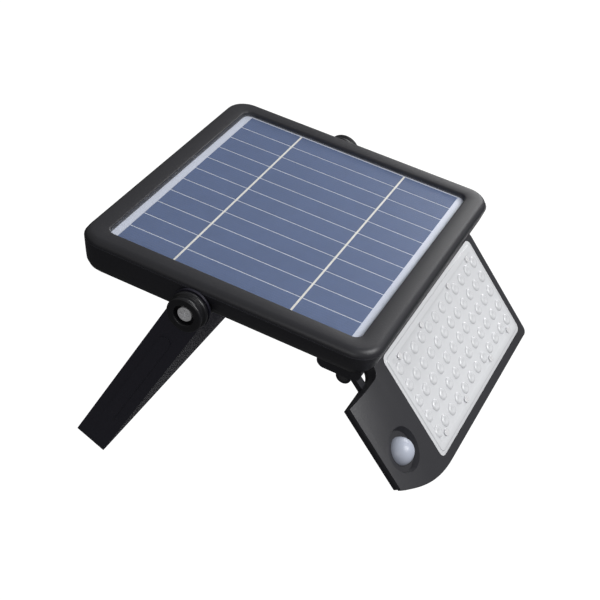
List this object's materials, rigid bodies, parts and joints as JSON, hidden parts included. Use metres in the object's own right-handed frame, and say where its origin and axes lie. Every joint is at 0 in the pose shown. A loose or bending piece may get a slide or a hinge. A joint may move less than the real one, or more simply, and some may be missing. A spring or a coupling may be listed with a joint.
{
  "type": "solar flood light",
  "caption": "Solar panel housing tilting on a U-shaped wall bracket, with a hinged LED head and motion sensor at its front edge.",
  "frame": {"origin": "centre of the bracket plate's outer face, which meets the wall", "axes": "+X towards the LED head, +Y along the tilt axis and the head's hinge axis, +Z square to the solar panel"},
  "size_m": [0.2462, 0.2268, 0.1669],
  "materials": {
    "black_plastic": "fine-grained black ABS",
    "black_gloss": "semi-gloss black nylon",
    "black_paint": "black powder coat",
    "washer_rubber": "matte",
    "seal_rubber": "silicone foam",
    "white_sheet": "white laminate",
    "cell_blue": "polycrystalline silicon under laminate",
    "ribbon_silver": "tinned ribbon",
    "clear_sheet": "clear laminate",
    "brass": "knurled insert",
    "bright_screw": "bright plated",
    "dark_screw": "black zinc plated",
    "cell_wrap": "shrink sleeve",
    "board_green": "solder mask",
    "chip_black": "moulded",
    "lens_clear": "frosted clear polycarbonate",
    "board_white": "white aluminium board",
    "led_yellow": "phosphor",
    "dome_white": "milky polyethylene",
    "can_metal": "plain"
  },
  "bodies": {
    "bracket": {"wall_bracket": "black_paint", "arm_washers": "washer_rubber"},
    "housing": {"top_cover": "black_plastic", "bottom_shell": "black_plastic", "shell_seal": "seal_rubber", "panel_tape": "seal_rubber", "panel_backsheet": "white_sheet", "cell_strips": "cell_blue", "cell_ribbons": "ribbon_silver", "panel_front_sheet": "clear_sheet", "pivot_inserts": "brass", "pivot_screws": "bright_screw", "pivot_knobs": "black_gloss", "battery_cells": "cell_wrap", "battery_holder": "black_plastic", "control_board": "board_green", "board_chips": "chip_black", "power_switch": "black_gloss", "button_ring": "black_gloss", "board_screws": "dark_screw", "shell_screws": "dark_screw", "hinge_pins": "dark_screw"},
    "head": {"head_frame": "black_plastic", "head_back": "black_plastic", "head_seal": "seal_rubber", "lens_plate": "lens_clear", "lens_screws": "bright_screw", "led_board": "board_white", "led_chips": "led_yellow", "sensor_dome": "dome_white", "sensor_board": "board_green", "sensor_can": "can_metal", "head_screws": "dark_screw"},
    "button": {"power_button": "washer_rubber"}
  },
  "joints": [
    {"name": "housing_tilt", "type": "hinge", "parent": "bracket", "child": "housing", "pos_m": [0.06264, 0, 0.14614], "axis": [0, 1, 0], "range_deg": [-65, 45]},
    {"name": "head_tilt", "type": "hinge", "parent": "housing", "child": "head", "pos_m": [0.15614, 0, 0.12694], "axis": [0, 1, 0], "range_deg": [-15, 130]},
    {"name": "button_press", "type": "slide", "parent": "housing", "child": "button", "axis": [0, 0, 1], "range_m": [0, 0.0012], "stiffness_N_per_m": 1500, "springref_m": -0.0004}
  ]
}
